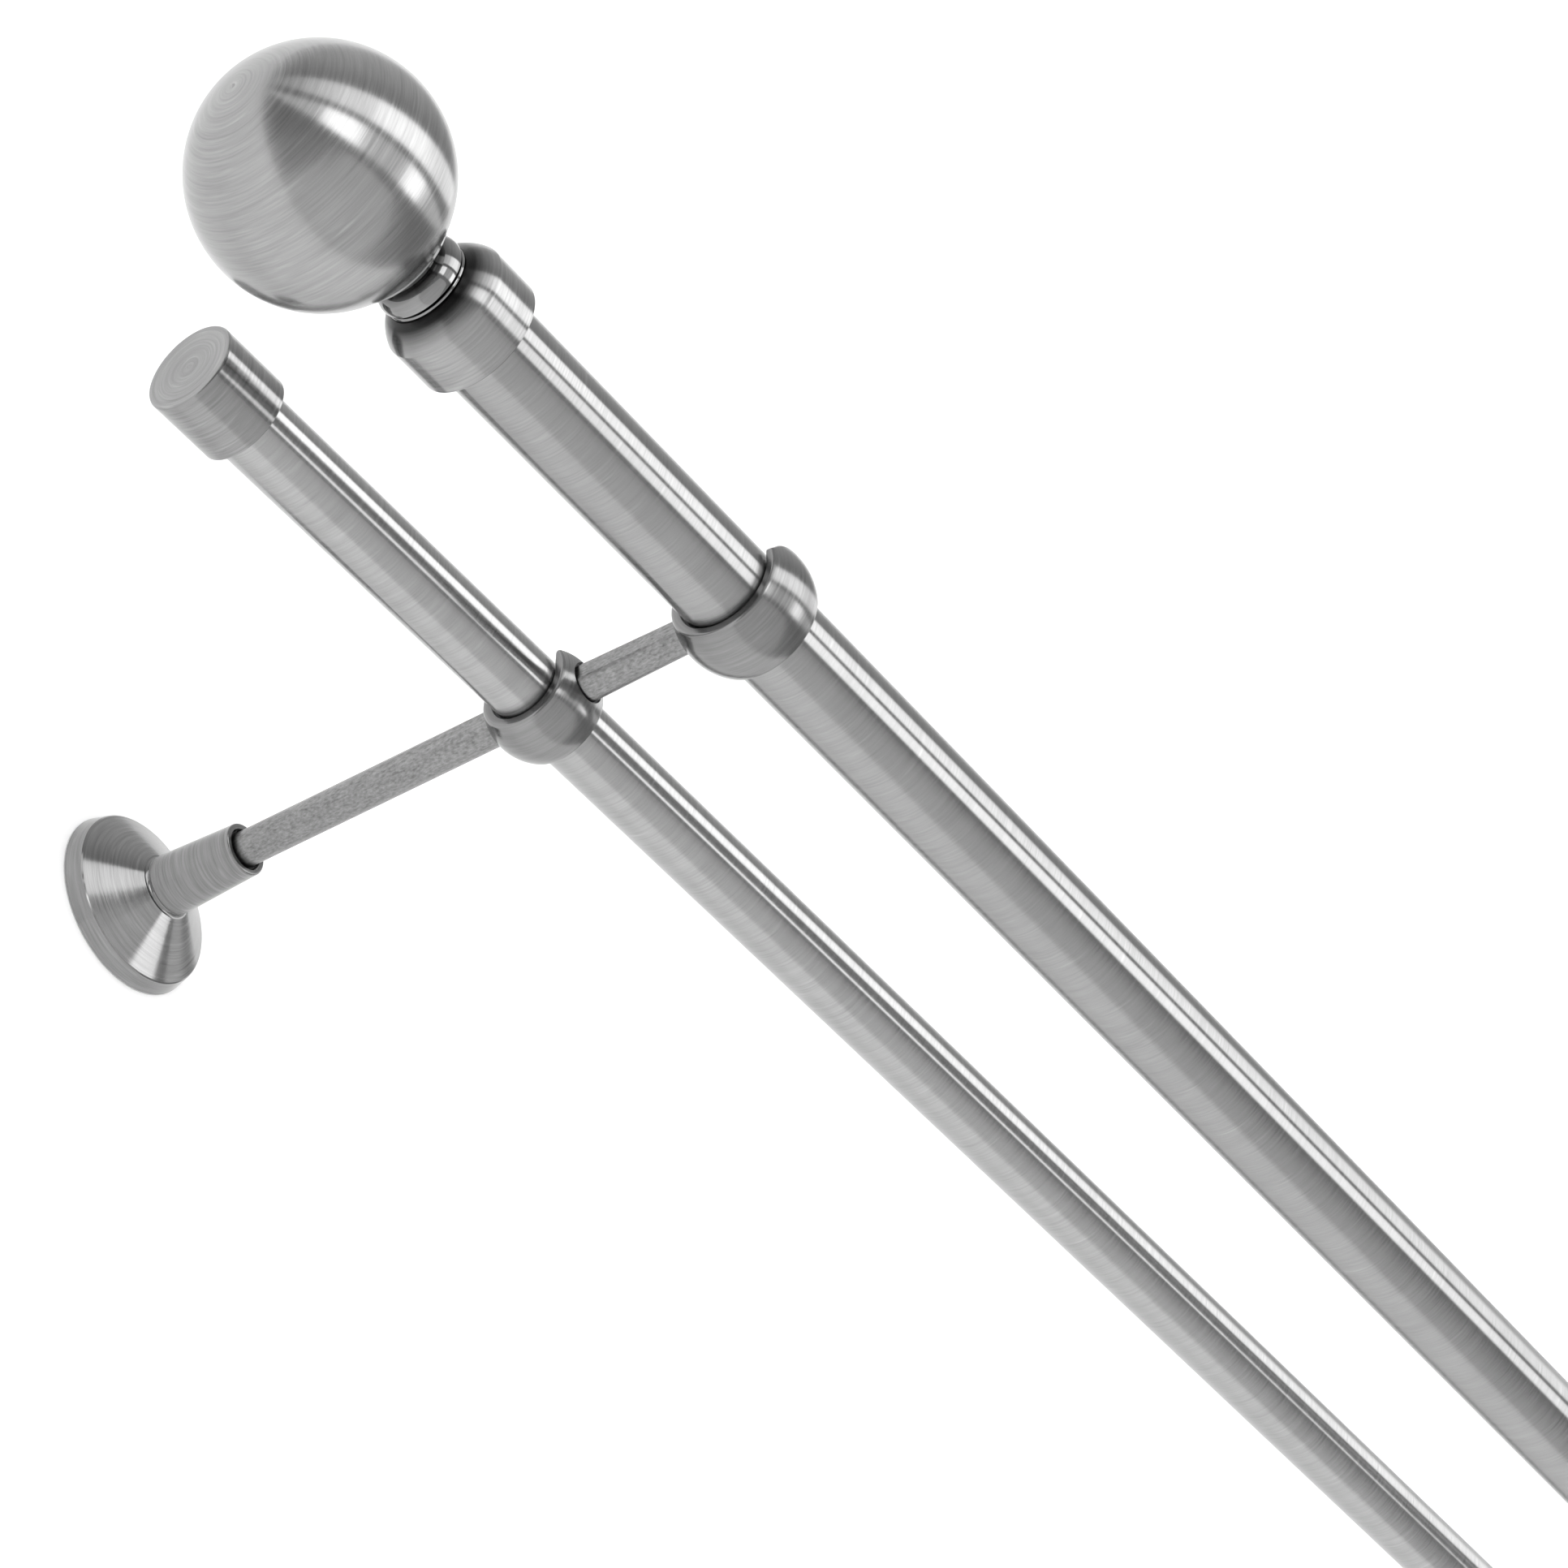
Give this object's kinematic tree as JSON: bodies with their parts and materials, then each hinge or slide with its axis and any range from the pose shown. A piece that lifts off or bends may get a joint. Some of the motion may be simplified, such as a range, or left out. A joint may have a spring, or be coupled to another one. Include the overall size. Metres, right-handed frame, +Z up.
{
  "type": "double curtain rod with brackets",
  "caption": "Double curtain rod: a thick front rod with ball finials and a thin rear rod with flat end caps, lying in open cradles on slim wall brackets with conical rosettes.",
  "frame": {"origin": "centre of the left bracket's wall plate, on the wall plane", "axes": "+X along the rods towards the right bracket as seen from the room, +Y into the wall, +Z up"},
  "size_m": [1.3494, 0.2264, 0.0608],
  "materials": {
    "rod": "brushed nickel-plated steel tube, brushed round the tube",
    "ball": "brushed nickel plate, brushed in rings about the rod's axis",
    "neck": "polished nickel",
    "collar": "brushed nickel plate, lathe-brushed",
    "cap": "brushed nickel plate with a turned flat face",
    "rosette": "brushed nickel plate, lathe-brushed",
    "sleeve": "brushed nickel plate, lathe-brushed",
    "arm": "nickel-plated casting, grainy satin",
    "cradle": "nickel-plated casting, satin brushed over the ball",
    "plate": "zinc-plated pressed steel",
    "fastener": "zinc-plated or blackened steel",
    "bush": "black nylon"
  },
  "bodies": {
    "wall_fixings": {"left_wall_plate": "plate", "left_wall_stud": "fastener", "left_rosette_cover": "rosette", "left_arm_sleeve": "sleeve", "left_sleeve_grub_screw": "fastener", "right_wall_plate": "plate", "right_wall_stud": "fastener", "right_rosette_cover": "rosette", "right_arm_sleeve": "sleeve", "right_sleeve_grub_screw": "fastener"},
    "left_arm": {"left_rear_arm": "arm", "left_rear_cradle": "cradle", "left_front_arm": "arm", "left_front_cradle": "cradle"},
    "right_arm": {"right_rear_arm": "arm", "right_rear_cradle": "cradle", "right_front_arm": "arm", "right_front_cradle": "cradle"},
    "front_rod_body": {"front_rod": "rod"},
    "rear_rod_body": {"rear_rod": "rod"},
    "left_finial": {"left_finial_ball": "ball", "left_finial_neck": "neck", "left_finial_collar": "collar", "left_finial_bush": "bush", "left_finial_screw": "fastener"},
    "left_cap": {"left_end_cap": "cap", "left_end_cap_bush": "bush"},
    "right_finial": {"right_finial_ball": "ball", "right_finial_neck": "neck", "right_finial_collar": "collar", "right_finial_bush": "bush", "right_finial_screw": "fastener"},
    "right_cap": {"right_end_cap": "cap", "right_end_cap_bush": "bush"}
  },
  "joints": [
    {"name": "left_arm_slide", "type": "slide", "parent": "wall_fixings", "child": "left_arm", "axis": [0, -1, 0], "range_m": [-0.0025, 0.0065]},
    {"name": "right_arm_slide", "type": "slide", "parent": "wall_fixings", "child": "right_arm", "axis": [0, -1, 0], "range_m": [-0.0025, 0.0065]},
    {"name": "front_rod_lift", "type": "slide", "parent": "left_arm", "child": "front_rod_body", "axis": [0, 0, 1], "range_m": [0, 0.04]},
    {"name": "rear_rod_lift", "type": "slide", "parent": "left_arm", "child": "rear_rod_body", "axis": [0, 0, 1], "range_m": [0, 0.035]},
    {"name": "left_finial_pull", "type": "slide", "parent": "front_rod_body", "child": "left_finial", "axis": [-1, 0, 0], "range_m": [0, 0.03]},
    {"name": "left_cap_pull", "type": "slide", "parent": "rear_rod_body", "child": "left_cap", "axis": [-1, 0, 0], "range_m": [0, 0.03]},
    {"name": "right_finial_pull", "type": "slide", "parent": "front_rod_body", "child": "right_finial", "axis": [1, 0, 0], "range_m": [0, 0.03]},
    {"name": "right_cap_pull", "type": "slide", "parent": "rear_rod_body", "child": "right_cap", "axis": [1, 0, 0], "range_m": [0, 0.03]}
  ],
  "couplings": [
    {"joint": "right_arm_slide", "follows": "left_arm_slide", "ratio": 1}
  ]
}
